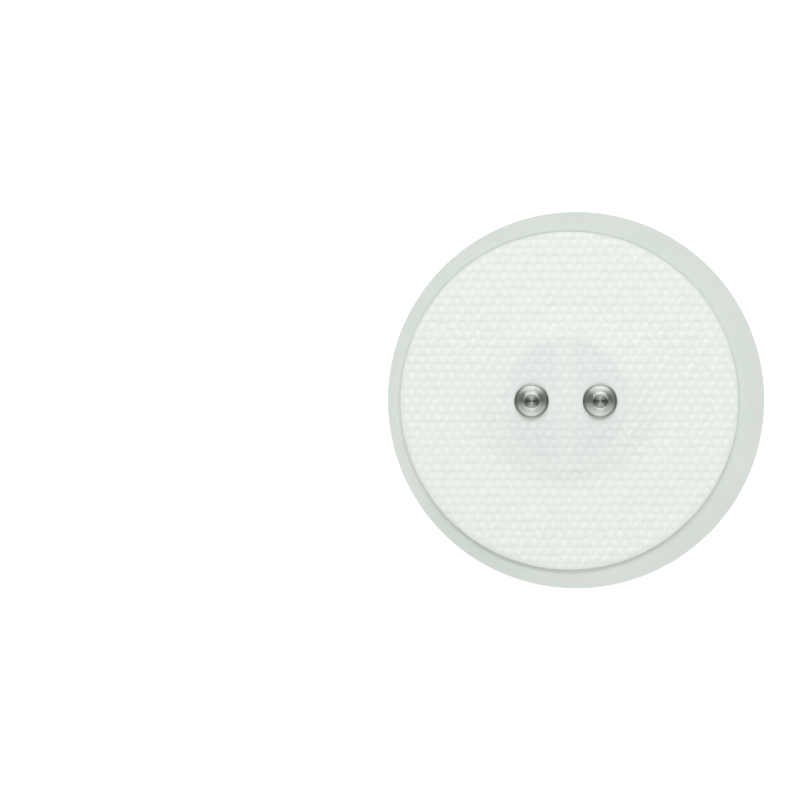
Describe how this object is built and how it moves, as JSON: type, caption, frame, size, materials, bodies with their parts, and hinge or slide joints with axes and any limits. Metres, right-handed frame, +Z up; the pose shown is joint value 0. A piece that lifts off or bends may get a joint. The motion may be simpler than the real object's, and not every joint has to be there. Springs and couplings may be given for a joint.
{
  "type": "electrode pad",
  "caption": "Round woven-cloth electrode pad with twin snap studs over half-moon gel contacts, lying on a clear release liner.",
  "frame": {"origin": "middle of the release liner's underside, where the pad rests", "axes": "+X along the line through both snap studs, +Z up out of the cloth, through the studs' heads"},
  "size_m": [0.0792, 0.0792, 0.0045],
  "materials": {
    "clear_film": "clear, faintly grey-green polyester film, smooth and flat",
    "white_cloth": "thick white woven cloth tape, rows of raised threads laid like bricks, matte above and glossy with adhesive below",
    "stud_plate": "bright nickel plate with fine turned rings",
    "eyelet_plate": "nickel-plated pressed sheet",
    "black_carbon": "black carbon-filled conductive film, satin",
    "clear_gel": "clear tacky hydrogel sheet, wet gloss"
  },
  "bodies": {
    "root": {"release_liner": "clear_film", "cloth_backing": "white_cloth", "stud_left": "stud_plate", "stud_right": "stud_plate", "eyelet_left": "eyelet_plate", "eyelet_right": "eyelet_plate", "contact_left": "black_carbon", "contact_right": "black_carbon", "gel_left": "clear_gel", "gel_right": "clear_gel"}
  },
  "joints": []
}
